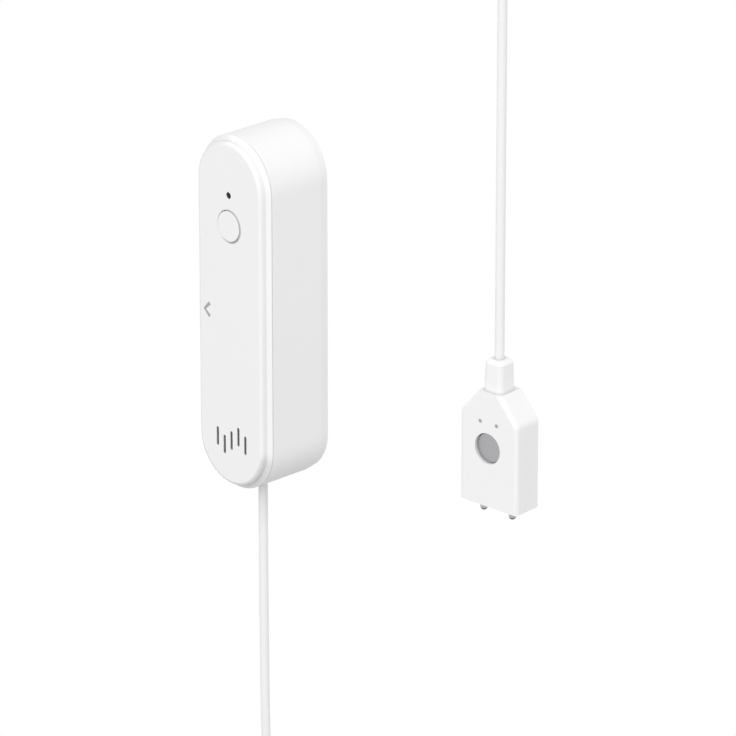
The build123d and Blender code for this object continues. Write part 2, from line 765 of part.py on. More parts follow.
def probe_board_part(wide, low, high):
    plane = Plane.XZ.offset(PROBE_BOARD_D)
    shape = Pos(0, (low + high) / 2) * Rectangle(wide, high - low)
    return extrude(plane * shape, PROBE_BOARD_T)


def make_probe_board():
    wide = PROBE_W - 2 * (PROBE_WALL + PROBE_BOARD_SIDE)
    shoulder = PROBE_TOP - CUT_DOWN - PROBE_BOARD_HIGH
    board = probe_board_part(wide, PROBE_BASE + PROBE_BOARD_LOW, shoulder)
    return board + probe_board_part(TAB_BOARD_W, shoulder - SINK, PROBE_ROOF - TAB_BOARD_DROP)


def make_pin(side):
    x = side * PIN_X
    tip = PROBE_FLOOR - PIN_OUT
    pin = upright(x, 0, PIN_R, tip, PROBE_BASE + SINK)
    pin = fillet(edges_near(pin, "Z", tip), PIN_ROUND)
    pin += upright(x, 0, PIN_FLANGE_R, PROBE_BASE, PROBE_BASE + PIN_FLANGE_T)
    return pin + upright(x, 0, PIN_TAIL_R, PROBE_BASE, PROBE_BASE + PIN_TAIL_LEN)


def make_relief():
    foot = Plane.XY.offset(PROBE_TOP) * RectangleRounded(RELIEF_BASE_W, RELIEF_BASE_W, RELIEF_ROUND)
    head = Plane.XY.offset(RELIEF_TOP) * RectangleRounded(RELIEF_W, RELIEF_W, RELIEF_ROUND)
    body = loft([foot, head], ruled=True)
    body = chamfer(edges_near(body, "Z", RELIEF_TOP), RELIEF_CHAMFER)
    body += upright(0, 0, NECK_R, PROBE_ROOF - SINK, PROBE_TOP + SINK)
    body += upright(0, 0, NECK_R + NECK_FLANGE, PROBE_ROOF - NECK_FLANGE_T, PROBE_ROOF)
    return body - upright(0, 0, CORD_R, PROBE_ROOF - 2 * NECK_FLANGE_T, RELIEF_TOP + OVER)


def unit_nodes():
    return {
        "adhesive_pad": make_pad(),
        "rear_housing": make_housing(),
        "seal_ring": make_seal_ring(),
        "front_cover": make_cover(),
        "button_cap": make_button_cap(),
        "switch_body": make_switch(),
        "switch_plunger": make_plunger(),
        "light_pipe": make_light_pipe(),
        "status_led": make_status_led(),
        "circuit_board": make_board(),
        "board_chips": make_chips(),
        "radio_can": make_radio(),
        "antenna_strip": make_antenna(),
        "buzzer": make_buzzer(),
        "sound_mesh": make_mesh(),
        "sound_gasket": make_gasket(),
        "cell_left": make_cell(-1),
        "cell_right": make_cell(1),
        "contact_bridge": make_bridge_contact(),
        "contact_positive": make_positive_contact(),
        "contact_negative": make_negative_contact(),
        "wire_plug": make_wire_plug(),
        "lead_wire_left": make_wire(-1),
        "lead_wire_right": make_wire(1),
        "cord_seal": make_cord_seal(),
        "cord_crimp": make_crimp(),
    }


def cord_nodes():
    nodes = {
        "cord_drop": make_cord_drop(),
        "cord_coil": make_coil(),
        "coil_tie": make_coil_tie(),
        "cord_return": make_cord_return(),
    }
    for number, (run, share) in enumerate(CLIP_PLACES, 1):
        nodes[f"cable_clip_{number}"] = make_clip(run, share)
    return nodes


def probe_nodes():
    return {
        "probe_shell": hang(make_probe_shell()),
        "probe_back": hang(make_probe_back()),
        "probe_disc": hang(make_probe_disc()),
        "probe_board": hang(make_probe_board()),
        "probe_dot_left": hang(make_probe_dot(-1)),
        "probe_dot_right": hang(make_probe_dot(1)),
        "contact_pin_left": hang(make_pin(-1)),
        "contact_pin_right": hang(make_pin(1)),
        "probe_relief": hang(make_relief()),
    }


all_nodes = unit_nodes() | cord_nodes() | probe_nodes()
for number, (x, z) in enumerate(BOSS_PLACES, 1):
    all_nodes[f"board_screw_{number}"] = make_screw(x, z)

os.makedirs("parts", exist_ok=True)
for name, shape in all_nodes.items():
    box = shape.bounding_box()
    low = [round(value, 2) for value in (box.min.X, box.min.Y, box.min.Z)]
    high = [round(value, 2) for value in (box.max.X, box.max.Y, box.max.Z)]
    print(name, low, high, "solids", len(shape.solids()))
    export_step(shape, f"parts/{name}.step")
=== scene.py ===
# %% [markdown]
# # A water leak detector, dressed over its CAD frame
#
# The object is a slim white wall unit with a push button, a status light and five
# sound slots. A thin white cord leaves its lower end, goes round below and beside the
# picture, and comes down again to a small probe with two metal contact pins.
#
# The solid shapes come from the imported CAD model, which is loaded first and never moved.
# This script gives every surface its finish, adds the small things that CAD leaves out,
# and lights it all. Everything is in metres, in the CAD model's own frame: the wall is
# the plane y = 0, fronts face -Y and +Z is up. The object's own lengths are noted in
# millimetres, and the factor MM turns them into metres where they are used.

# %% Load the frame
import bpy
import math
from mathutils import Matrix, Vector


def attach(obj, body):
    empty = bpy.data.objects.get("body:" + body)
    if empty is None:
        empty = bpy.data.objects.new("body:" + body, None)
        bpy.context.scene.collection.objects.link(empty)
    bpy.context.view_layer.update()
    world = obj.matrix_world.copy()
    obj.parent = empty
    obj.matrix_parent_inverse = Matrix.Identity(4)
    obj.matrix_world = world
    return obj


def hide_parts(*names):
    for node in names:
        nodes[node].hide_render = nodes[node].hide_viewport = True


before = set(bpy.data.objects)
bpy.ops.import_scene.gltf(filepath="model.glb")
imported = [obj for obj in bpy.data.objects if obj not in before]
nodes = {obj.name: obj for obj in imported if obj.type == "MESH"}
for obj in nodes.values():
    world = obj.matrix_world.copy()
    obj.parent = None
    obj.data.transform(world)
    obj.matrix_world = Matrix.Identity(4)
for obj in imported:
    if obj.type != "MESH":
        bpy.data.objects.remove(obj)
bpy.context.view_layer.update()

MM = 0.001
print("frame with", len(nodes), "nodes")

# %% [markdown]
# ## The camera
#
# The photograph is taken with a long lens from the right and a little above, so upright
# lines run almost parallel and only draw together slightly downwards. The lens follows
# from how fast they draw together, and the camera's place and direction were then solved
# so that the object's corners and edges fall where the picture has them. That was done
# for a unit that lies right on the wall. The foam pad moves the unit out by its own depth,
# and the camera moves out with it.

# %% Camera
VIEW_TURN = math.radians(47.564)
VIEW_RISE = math.radians(22.449)
VIEW_DISTANCE = 1577.1 * MM
VIEW_RIGHT = 17.97 * MM
VIEW_UP = -17.98 * MM
PAD_DEPTH = 0.8 * MM
SENSOR = 36.0
FOCAL_PIXELS = 6500
PICTURE_PIXELS = 736
LENS = SENSOR * FOCAL_PIXELS / PICTURE_PIXELS


def put_in_scene(name, data):
    thing = bpy.data.objects.new(name, data)
    bpy.context.scene.collection.objects.link(thing)
    return thing


def photo_camera():
    back = Vector((
        math.sin(VIEW_TURN) * math.cos(VIEW_RISE),
        -math.cos(VIEW_TURN) * math.cos(VIEW_RISE),
        math.sin(VIEW_RISE),
    ))
    right = Vector((math.cos(VIEW_TURN), math.sin(VIEW_TURN), 0.0))
    up = back.cross(right)
    data = bpy.data.cameras.new("photo_camera")
    data.lens = LENS
    data.sensor_width = SENSOR
    data.clip_end = 20.0
    camera = put_in_scene("photo_camera", data)
    place = back * VIEW_DISTANCE + right * VIEW_RIGHT + up * VIEW_UP
    place.y -= PAD_DEPTH
    turn = Matrix((right, up, back)).transposed().to_4x4()
    camera.matrix_world = Matrix.Translation(place) @ turn
    bpy.context.scene.camera = camera
    return camera


camera = photo_camera()
print("camera at", [round(value, 3) for value in camera.location], "lens", round(LENS, 1))

# %% [markdown]
# ## A small kit for materials
#
# Every finish here is made of nodes, with no picture files. A material is a list of
# node links, so a few helpers keep the recipes short: one makes a material with its
# Principled shader, one adds a node, and one joins two sockets. The last two take
# anything that has a node tree, so they serve the world too. Colours are written in
# linear light, as the shader takes them.

# %% Material, node and link
def new_material(name, colour, roughness, metallic=0.0, specular=0.5):
    material = bpy.data.materials.new(name)
    material.use_nodes = True
    shader = material.node_tree.nodes["Principled BSDF"]
    shader.inputs["Base Color"].default_value = (*colour, 1.0)
    shader.inputs["Roughness"].default_value = roughness
    shader.inputs["Metallic"].default_value = metallic
    shader.inputs["Specular IOR Level"].default_value = specular
    material.diffuse_color = (*colour, 1.0)
    return material, shader


def add_node(owner, kind, **values):
    node = owner.node_tree.nodes.new(kind)
    for name, value in values.items():
        setattr(node, name, value)
    return node


def join(owner, output, entry):
    owner.node_tree.links.new(output, entry)


print("material, node and link helpers ready")

# %% [markdown]
# ## Patterns
#
# A pattern needs to know where on the object a spot lies. All patterns here use the
# object's own coordinates, in metres, so they stay put when the view or the pose changes.
# A noise then gives each spot a number, a spread stretches that number to other limits, a
# tint turns it into a colour, and a bump turns it into small heights.

# %% Pattern helpers
def object_space(material, scale=(1.0, 1.0, 1.0)):
    coordinates = add_node(material, "ShaderNodeTexCoord")
    mapping = add_node(material, "ShaderNodeMapping")
    mapping.inputs["Scale"].default_value = scale
    join(material, coordinates.outputs["Object"], mapping.inputs["Vector"])
    return mapping.outputs["Vector"]


def noise(material, vector, scale, detail):
    node = add_node(material, "ShaderNodeTexNoise")
    node.inputs["Scale"].default_value = scale
    node.inputs["Detail"].default_value = detail
    join(material, vector, node.inputs["Vector"])
    return node.outputs["Fac"]


def spread(material, value, low, high, start=0.0, end=1.0):
    node = add_node(material, "ShaderNodeMapRange")
    node.inputs["From Min"].default_value = start
    node.inputs["From Max"].default_value = end
    node.inputs["To Min"].default_value = low
    node.inputs["To Max"].default_value = high
    join(material, value, node.inputs["Value"])
    return node.outputs["Result"]


def tint(material, value, first, second):
    node = add_node(material, "ShaderNodeMix", data_type="RGBA")
    node.inputs["A"].default_value = (*first, 1.0)
    node.inputs["B"].default_value = (*second, 1.0)
    join(material, value, node.inputs["Factor"])
    return node.outputs["Result"]


def bump(material, shader, height, distance, strength=1.0):
    node = add_node(material, "ShaderNodeBump")
    node.inputs["Distance"].default_value = distance
    node.inputs["Strength"].default_value = strength
    join(material, height, node.inputs["Height"])
    join(material, node.outputs["Normal"], shader.inputs["Normal"])


print("pattern helpers ready")

# %% [markdown]
# ## Moulded plastic
#
# The housing is injection-moulded in a satin white. Up close such a surface is never
# perfectly even: the mould leaves a very fine grain, and hands and time change the
# gloss a little from place to place. A fine noise drives a bump of a few thousandths of
# a millimetre, and a broad one moves the colour by one or two per cent and the roughness
# by 0.04 either way.
# The same recipe, with other colours and gloss, makes the cord's jacket, the seals, the
# clips and the small moulded things inside.

# %% Plastics
GRAIN_SCALE = 3500.0
PATCH_SCALE = 45.0
PATCH_SHADE = 0.985
PATCH_GLOSS = 0.04
WHITE = (0.885, 0.885, 0.885)
SHELL_ROUGHNESS = 0.48


def moulded(name, colour, roughness, grain=0.004, specular=0.3):
    material, shader = new_material(name, colour, roughness, specular=specular)
    vector = object_space(material)
    fine = noise(material, vector, GRAIN_SCALE, 2.0)
    broad = noise(material, vector, PATCH_SCALE, 3.0)
    darker = tuple(part * PATCH_SHADE for part in colour)
    gloss = spread(material, broad, roughness - PATCH_GLOSS, roughness + PATCH_GLOSS)
    join(material, tint(material, broad, darker, colour), shader.inputs["Base Color"])
    join(material, gloss, shader.inputs["Roughness"])
    bump(material, shader, fine, grain * MM, 0.5)
    return material


shell_plastic = moulded("shell_plastic", WHITE, SHELL_ROUGHNESS)
cover_plastic = moulded("cover_plastic", WHITE, SHELL_ROUGHNESS)
probe_plastic = moulded("probe_plastic", WHITE, SHELL_ROUGHNESS)
button_plastic = moulded("button_plastic", WHITE, 0.45)
relief_plastic = moulded("relief_plastic", WHITE, 0.42)
cord_jacket = moulded("cord_jacket", (0.87, 0.87, 0.87), 0.45, grain=0.002)
clip_plastic = moulded("clip_plastic", (0.85, 0.85, 0.84), 0.3)
black_plastic = moulded("black_plastic", (0.02, 0.02, 0.021), 0.4)
cream_plastic = moulded("cream_plastic", (0.72, 0.69, 0.6), 0.45)
seal_rubber = moulded("seal_rubber", (0.10, 0.10, 0.105), 0.7, grain=0.02)
smoked_pipe = moulded("smoked_pipe", (0.035, 0.035, 0.037), 0.2, grain=0.0)
print("plastics ready")

# %% [markdown]
# ## Painting shade over a finish
#
# Some places of the white plastic are greyer than the rest, and that grey is painted
# shade. A second material would need the mesh to be cut up there. Instead a mask lays a
# grey over the colour that is there already. A mask is a number from 0 to 1 that is worked
# out from where the spot lies: a comparison gives 1 inside a band and 0 outside, and the
# product of two masks is 1 only where both are.

# %% Painting through a mask
# Lays a grey of painted shade over the colour, through a mask.
def paint_shade(material, grey, mask, blend_type="MIX"):
    base = material.node_tree.nodes["Principled BSDF"].inputs["Base Color"]
    mix = add_node(material, "ShaderNodeMix", data_type="RGBA", blend_type=blend_type)
    mix.inputs["B"].default_value = (grey, grey, grey, 1.0)
    join(material, base.links[0].from_socket, mix.inputs["A"])
    join(material, mask, mix.inputs["Factor"])
    join(material, mix.outputs["Result"], base)


def split(owner, vector):
    parts = add_node(owner, "ShaderNodeSeparateXYZ")
    join(owner, vector, parts.inputs["Vector"])
    return parts.outputs


def place_of_spot(material):
    return split(material, add_node(material, "ShaderNodeTexCoord").outputs["Object"])


def inside(material, value, middle, reach):
    node = add_node(material, "ShaderNodeMath", operation="COMPARE")
    join(material, value, node.inputs[0])
    node.inputs[1].default_value = middle * MM
    node.inputs[2].default_value = reach * MM
    return node.outputs[0]


def product(material, first, second):
    node = add_node(material, "ShaderNodeMath", operation="MULTIPLY")
    join(material, first, node.inputs[0])
    join(material, second, node.inputs[1])
    return node.outputs[0]


print("painting helpers ready")

# %% [markdown]
# ## Painted shade in the openings of the cover
#
# Seen from the side, one looks at the walls of the sound slots and of the light hole,
# not through them. In the picture these walls lie in dark shade. The cover's plastic is
# therefore painted with that shade below its face, inside two small boxes round the
# openings. A box is written as its middle and reach across, then its middle and reach up.
# It takes two comparisons, and the depth below the face fades the painted shade in. The
# thin seam behind the cover gets painted shade in the same way, by one comparison in depth.

# %% Openings
FACE_Y = -21.6
DARK_FROM = FACE_Y + 0.05
DARK_FULL = FACE_Y + 0.3
SLOT_BOX = (0.32, 5.7, -32.6, 4.9)
SLOT_SHADE = 0.3
LIGHT_BOX = (0.0, 1.2, 30.9, 1.2)
LIGHT_HOLE_SHADE = 0.1
SEAM_Y = -18.93
SEAM_REACH = 0.15
SEAM_SHADE = 0.75


# Paints shade on the walls of the slots and the light hole, and on the seam.
def paint_shade_in_openings(material):
    spot = place_of_spot(material)
    depth = spread(material, spot["Y"], 0.0, 1.0, DARK_FROM * MM, DARK_FULL * MM)
    for box, grey in ((SLOT_BOX, SLOT_SHADE), (LIGHT_BOX, LIGHT_HOLE_SHADE)):
        middle_x, reach_x, middle_z, reach_z = box
        across = inside(material, spot["X"], middle_x, reach_x)
        upward = inside(material, spot["Z"], middle_z, reach_z)
        paint_shade(material, grey, product(material, product(material, across, upward), depth))
    paint_shade(material, SEAM_SHADE, inside(material, spot["Y"], SEAM_Y, SEAM_REACH))


paint_shade_in_openings(cover_plastic)
print("slots, light hole and seam darkened on the cover")

# %% [markdown]
# ## Painted shade round the button
#
# The gap round the button reads wider in the picture than the shape's own gap, and most
# of all on the right. A ring of painted shade on the cover, just outside the hole, widens
# it for the eye. The ring is one comparison on the distance from the button's middle, and
# it fades out to the left.

# %% Button ring
BUTTON_Z = 23.0
RING_RADIUS = 4.23
RING_REACH = 0.15
RING_SHADE = 0.48
RING_FADE = (-2.5, 1.5)


# Paints a ring of shade round the button's hole, fading out to the left.
def paint_shade_round_button(material):
    coordinates = add_node(material, "ShaderNodeTexCoord")
    flat = add_node(material, "ShaderNodeMapping")
    flat.inputs["Location"].default_value = (0.0, 0.0, -BUTTON_Z * MM)
    flat.inputs["Scale"].default_value = (1.0, 0.0, 1.0)
    join(material, coordinates.outputs["Object"], flat.inputs["Vector"])
    radius = add_node(material, "ShaderNodeVectorMath", operation="LENGTH")
    join(material, flat.outputs["Vector"], radius.inputs[0])
    ring = inside(material, radius.outputs["Value"], RING_RADIUS, RING_REACH)
    start, end = (value * MM for value in RING_FADE)
    fade = spread(material, split(material, flat.outputs["Vector"])["X"], 0.0, 1.0, start, end)
    paint_shade(material, RING_SHADE, product(material, ring, fade))


paint_shade_round_button(cover_plastic)
print("ring round the button at radius", RING_RADIUS, "mm")

# %% [markdown]
# ## The rolled edge of the face
#
# The edge of the raised face is a little greyer in the picture where it turns down or to
# the left. A colour ramp over the way the surface faces gives that shade. The ramp runs
# from straight down, or straight left, at 0 to the front at 1. It leaves both ends as
# they are and is deepest on the curve between them. The colour is then multiplied by it.

# %% Slope shade
def shade_by(material, shade):
    base = material.node_tree.nodes["Principled BSDF"].inputs["Base Color"]
    mix = add_node(material, "ShaderNodeMix", data_type="RGBA", blend_type="MULTIPLY")
    mix.inputs["Factor"].default_value = 1.0
    join(material, base.links[0].from_socket, mix.inputs["A"])
    join(material, shade, mix.inputs["B"])
    join(material, mix.outputs["Result"], base)


def facing_of_spot(material):
    return split(material, add_node(material, "ShaderNodeNewGeometry").outputs["Normal"])


def shade_by_slope(material, axis, deepest):
    slope = spread(material, facing_of_spot(material)[axis], 0.0, 1.0, -1.0, 0.0)
    ramp = add_node(material, "ShaderNodeValToRGB")
    stops = ((0.0, 1.0), (0.45, deepest), (0.85, deepest), (0.97, 1.0))
    elements = ramp.color_ramp.elements
    for place, _ in stops[1:-1]:
        elements.new(place)
    for element, (place, value) in zip(elements, stops):
        element.position = place
        element.color = (value, value, value, 1.0)
    join(material, slope, ramp.inputs["Fac"])
    shade_by(material, ramp.outputs["Color"])


shade_by_slope(cover_plastic, "Z", 0.85)
shade_by_slope(cover_plastic, "X", 0.92)
print("rolled edge shaded below and on the left")

# %% [markdown]
# ## Painted shade in creases
#
# Tight creases, such as the foot of the strain relief, get a little painted shade.
# The ambient occlusion node measures how hemmed in a spot is, within a reach that is
# given in millimetres, and the colour is multiplied by a shade that follows it.

# %% Crease shade
HEMMED_IN = 0.45
OPEN = 0.95


# Paints shade into the colour where a spot is hemmed in.
def paint_crease_shade(material, reach, deepest):
    crease = add_node(material, "ShaderNodeAmbientOcclusion", samples=8)
    crease.inputs["Distance"].default_value = reach * MM
    shade_by(material, spread(material, crease.outputs["AO"], deepest, 1.0, HEMMED_IN, OPEN))


paint_crease_shade(cover_plastic, 1.0, 0.85)
paint_crease_shade(probe_plastic, 1.0, 0.72)
paint_crease_shade(relief_plastic, 1.0, 0.72)
paint_crease_shade(cord_jacket, 1.5, 0.78)
print("creases greyed on cover, probe, strain relief and cord")

# %% [markdown]
# ## Metal
#
# The contact pins are nickel-plated and turned on a lathe, so they carry faint rings
# across their axis. The round disc in the probe is a plain satin metal face. Cans,
# contacts and screws inside are pressed or rolled, with fine lines along one way. One
# recipe serves them all: a noise that is stretched along one axis becomes the lines.
# Surfaces of the pins that face down are given a dark tint, because on the real thing
# they mirror the dark room below, which a white studio cannot show.

# %% Metals
LINE_SCALE = 900.0
DARK_FACING = -0.55
BRIGHT_FACING = 0.1


def worked_metal(name, colour, roughness, stretch, line_depth):
    material, shader = new_material(name, colour, roughness, metallic=1.0)
    lines = noise(material, object_space(material, stretch), LINE_SCALE, 2.0)
    gloss = spread(material, lines, roughness * 0.8, roughness * 1.25)
    join(material, gloss, shader.inputs["Roughness"])
    bump(material, shader, lines, line_depth * MM, 0.4)
    return material


def dark_below(material, low, high):
    shader = material.node_tree.nodes["Principled BSDF"]
    upward = facing_of_spot(material)["Z"]
    fade = spread(material, upward, 0.0, 1.0, DARK_FACING, BRIGHT_FACING)
    join(material, tint(material, fade, low, high), shader.inputs["Base Color"])


turned_nickel = worked_metal("turned_nickel", (0.72, 0.72, 0.73), 0.12, (0.2, 0.2, 4.0), 0.003)
dark_below(turned_nickel, (0.03, 0.03, 0.032), (0.55, 0.55, 0.56))
pressed_steel = worked_metal("pressed_steel", (0.55, 0.55, 0.56), 0.3, (0.2, 1.0, 3.0), 0.004)
strip_brass = worked_metal("strip_brass", (0.68, 0.5, 0.2), 0.28, (3.0, 1.0, 0.3), 0.004)
disc_metal = worked_metal("disc_metal", (0.42, 0.42, 0.43), 0.42, (1.0, 1.0, 1.0), 0.004)
print("metals ready")

# %% [markdown]
# ## The inside and the soft things
#
# A green board with its tracks, a plain cell sleeve, foam, a woven sound mesh and
# the double-sided pad at the back complete the list. Tracks are a brick pattern in a
# lighter green, the mesh is two crossed waves, and foam is a pattern of small cells.

# %% Board, mesh, foam and sleeve
BOARD_GREEN = (0.012, 0.09, 0.03)
BOARD_GREEN_LIT = (0.016, 0.11, 0.04)
TRACK_GREEN = (0.03, 0.2, 0.07)
TRACK_SCALE = 420.0
WEAVE_SCALE = 1200.0
FOAM_SCALE = 1800.0


def solder_mask():
    material, shader = new_material("solder_mask", BOARD_GREEN, 0.3)
    vector = object_space(material, (1.0, 0.02, 1.0))
    tracks = add_node(material, "ShaderNodeTexBrick", offset=0.37)
    tracks.inputs["Scale"].default_value = TRACK_SCALE
    tracks.inputs["Mortar Size"].default_value = 0.12
    tracks.inputs["Color1"].default_value = (*BOARD_GREEN, 1.0)
    tracks.inputs["Color2"].default_value = (*BOARD_GREEN_LIT, 1.0)
    tracks.inputs["Mortar"].default_value = (*TRACK_GREEN, 1.0)
    turned = add_node(material, "ShaderNodeMapping")
    turned.inputs["Rotation"].default_value = (math.radians(90), 0.0, 0.0)
    join(material, vector, turned.inputs["Vector"])
    join(material, turned.outputs["Vector"], tracks.inputs["Vector"])
    join(material, tracks.outputs["Color"], shader.inputs["Base Color"])
    bump(material, shader, tracks.outputs["Fac"], 0.01 * MM, 0.5)
    return material


def woven_mesh():
    material, shader = new_material("woven_mesh", (0.01, 0.01, 0.01), 0.8)
    vector = object_space(material)
    height = None
    for direction in ("X", "Z"):
        wave = add_node(material, "ShaderNodeTexWave", bands_direction=direction)
        wave.inputs["Scale"].default_value = WEAVE_SCALE
        join(material, vector, wave.inputs["Vector"])
        if height is None:
            height = wave.outputs["Fac"]
        else:
            top = add_node(material, "ShaderNodeMath", operation="MAXIMUM")
            join(material, height, top.inputs[0])
            join(material, wave.outputs["Fac"], top.inputs[1])
            height = top.outputs[0]
    threads = tint(material, height, (0.004, 0.004, 0.004), (0.03, 0.03, 0.03))
    join(material, threads, shader.inputs["Base Color"])
    bump(material, shader, height, 0.05 * MM)
    return material


def cell_foam(name, colour):
    material, shader = new_material(name, colour, 0.85)
    cells = add_node(material, "ShaderNodeTexVoronoi")
    cells.inputs["Scale"].default_value = FOAM_SCALE
    join(material, object_space(material), cells.inputs["Vector"])
    depth = cells.outputs["Distance"]
    darker = tuple(part * 0.7 for part in colour)
    join(material, tint(material, depth, darker, colour), shader.inputs["Base Color"])
    bump(material, shader, depth, 0.08 * MM)
    return material


board_green = solder_mask()
sound_weave = woven_mesh()
black_foam = cell_foam("black_foam", (0.02, 0.02, 0.02))
pad_foam = cell_foam("pad_foam", (0.78, 0.78, 0.76))
cell_sleeve = moulded("cell_sleeve", (0.02, 0.07, 0.22), 0.25, grain=0.01)
wire_red = moulded("wire_red", (0.45, 0.02, 0.015), 0.35)
wire_black = moulded("wire_black", (0.012, 0.012, 0.012), 0.35)
print("inside finishes ready")

# %% [markdown]
# ## Which finish goes where
#
# Each CAD node keeps its own shape and place and gets one of the materials above. The
# shape already has its true fillets, so no modifier is needed. Screws and clips come in
# numbers, so a loop over the node names dresses them.

# %% Dress the CAD nodes
FINISHES = {
    "adhesive_pad": pad_foam,
    "rear_housing": shell_plastic,
    "seal_ring": seal_rubber,
    "front_cover": cover_plastic,
    "button_cap": button_plastic,
    "switch_body": black_plastic,
    "switch_plunger": cream_plastic,
    "light_pipe": smoked_pipe,
    "status_led": cream_plastic,
    "circuit_board": board_green,
    "board_chips": black_plastic,
    "radio_can": pressed_steel,
    "antenna_strip": strip_brass,
    "buzzer": black_plastic,
    "sound_mesh": sound_weave,
    "sound_gasket": black_foam,
    "cell_left": cell_sleeve,
    "cell_right": cell_sleeve,
    "contact_bridge": pressed_steel,
    "contact_positive": pressed_steel,
    "contact_negative": pressed_steel,
    "wire_plug": cream_plastic,
    "lead_wire_left": wire_red,
    "lead_wire_right": wire_black,
    "cord_seal": seal_rubber,
    "cord_crimp": pressed_steel,
    "coil_tie": clip_plastic,
    "probe_shell": probe_plastic,
    "probe_back": probe_plastic,
    "probe_disc": disc_metal,
    "probe_board": board_green,
    "probe_dot_left": disc_metal,
    "probe_dot_right": disc_metal,
    "contact_pin_left": turned_nickel,
    "contact_pin_right": turned_nickel,
    "probe_relief": relief_plastic,
}
for name in nodes:
    if name.startswith("board_screw"):
        FINISHES[name] = pressed_steel
    if name.startswith("cable_clip"):
        FINISHES[name] = clip_plastic


def dress(name, material):
    node = nodes[name]
    node.data.materials.clear()
    node.data.materials.append(material)


for name, material in FINISHES.items():
    dress(name, material)
print("dressed", len(FINISHES), "nodes, left:", sorted(set(nodes) - set(FINISHES)))

# %% [markdown]
# ## The cord's way
#
# One cord joins the wall unit and the probe. It is a flexible thing of a fixed length,
# so it is one smooth spline with a round section: straight down out of the unit, three
# and a quarter tied turns, along the wall under its clips, and straight down again to the
# probe. The turns are made by a loop; the rest follows listed points.
# As the turns go round, the cord also moves round a small circle, its lay, so that each
# turn lies beside the last and none cuts through another. The curve runs inside its
# points, so those of the turns are set a little further out than the wanted radius.

# %% Cord route
CORD_D = 2.3 * MM
CORD_Y = -11.2
EXIT_Z = -38.7
COIL_R = 14.2
COIL_X = 14.2
COIL_Z = -137.0
COIL_TURNS = 3.25
COIL_STEPS = 16
LAY_R = 1.75
LAY_START = math.radians(67.5)
LAY_PER_TURN = math.radians(90.0)
PROBE_X = 77.1
PROBE_Y = -5.3
PROBE_END_Z = -2.55
WALL_CORD_Y = -3.0
DROP_ABOVE_COIL = 30.0
ENTRY_ABOVE_COIL = 12.0

ALONG_WALL = [
    (40.0, -9.2, -152.6),
    (74.0, -4.2, -151.6),
    (108.0, WALL_CORD_Y, -149.4),
    (136.0, WALL_CORD_Y, -148.2),
    (151.0, WALL_CORD_Y, -141.0),
    (158.0, WALL_CORD_Y, -124.0),
    (159.6, WALL_CORD_Y, -92.0),
    (158.2, WALL_CORD_Y, -40.0),
    (159.4, WALL_CORD_Y, 16.0),
    (158.0, WALL_CORD_Y, 70.0),
    (157.8, WALL_CORD_Y, 112.0),
    (150.8, WALL_CORD_Y, 130.0),
    (134.0, WALL_CORD_Y, 137.6),
    (111.0, WALL_CORD_Y, 136.2),
    (91.0, WALL_CORD_Y, 139.4),
    (PROBE_X + 3.4, WALL_CORD_Y - 0.5, 132.0),
    (PROBE_X, PROBE_Y, 118.0),
    (PROBE_X, PROBE_Y, 103.6),
    (PROBE_X, PROBE_Y, PROBE_END_Z),
]


def coil_points():
    points = []
    for step in range(-1, int(COIL_TURNS * COIL_STEPS) + 1):
        share = (step + 0.5) / COIL_STEPS
        angle = math.pi + 2 * math.pi * share
        lay = LAY_START + LAY_PER_TURN * share
        radius = (COIL_R + LAY_R * math.cos(lay)) / math.cos(math.pi / COIL_STEPS)
        depth = CORD_Y + LAY_R * math.sin(lay)
        points.append((COIL_X + radius * math.cos(angle), depth, COIL_Z + radius * math.sin(angle)))
    return points


TURNS = coil_points()
DROP = [(0.0, CORD_Y, EXIT_Z), (0.0, CORD_Y, COIL_Z + DROP_ABOVE_COIL)]
ENTRY = (TURNS[0][0], TURNS[0][1], COIL_Z + ENTRY_ABOVE_COIL)
ROUTE = DROP + [ENTRY] + TURNS + ALONG_WALL
print("cord route of", len(ROUTE), "points,", len(TURNS), "of them in the turns")

# %% [markdown]
# ## The cord itself
#
# A NURBS curve runs smoothly near its points and needs few of them, and its bevel gives
# it the round section. The first stretch lies in the shade of the unit above it, so its
# jacket is greyed there, and the grey fades out over 21 mm. The CAD model has the cord as
# three stiff solids, and this one flexible piece takes their place.

# %% Cord
SHADE_REACH = 21.0
SHADE_ACROSS = 3.0
SHADE_GREY = 0.77


def nurbs_tube(name, route, radius, material):
    curve = bpy.data.curves.new(name, "CURVE")
    curve.dimensions = "3D"
    curve.bevel_depth = radius
    curve.bevel_resolution = 5
    curve.resolution_u = 8
    curve.use_fill_caps = True
    spline = curve.splines.new("NURBS")
    spline.points.add(len(route) - 1)
    for point, place in zip(spline.points, route):
        point.co = (*(value * MM for value in place), 1.0)
    spline.order_u = 3
    spline.use_endpoint_u = True
    tube = put_in_scene(name, curve)
    curve.materials.append(material)
    return tube


def shade_under_unit(material):
    spot = place_of_spot(material)
    fade = spread(material, spot["Z"], 0.0, 1.0, (EXIT_Z - SHADE_REACH) * MM, EXIT_Z * MM)
    near = inside(material, spot["X"], 0.0, SHADE_ACROSS)
    paint_shade(material, SHADE_GREY, product(material, near, fade), blend_type="MULTIPLY")


shade_under_unit(cord_jacket)
cord = nurbs_tube("cord", ROUTE, CORD_D / 2, cord_jacket)
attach(cord, "base")
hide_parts("cord_drop", "cord_coil", "cord_return")
print("cord made")

# %% [markdown]
# ## The pointer beside the face
#
# Half way up the left edge of the face is a small angular mark in grey, printed or
# pressed in. It is two short strokes that meet in a point. A stroke is a thin bar laid
# 0.01 mm proud of the face, so that it reads as ink and never fights with the surface.

# %% Pointer mark
MARK_TIP = (-9.05, -0.73)
MARK_UPPER = (-7.22, 1.14)
MARK_LOWER = (-7.2, -2.31)
MARK_WIDTH = 0.65
MARK_DEPTH = 0.01
MITRE = 1.3


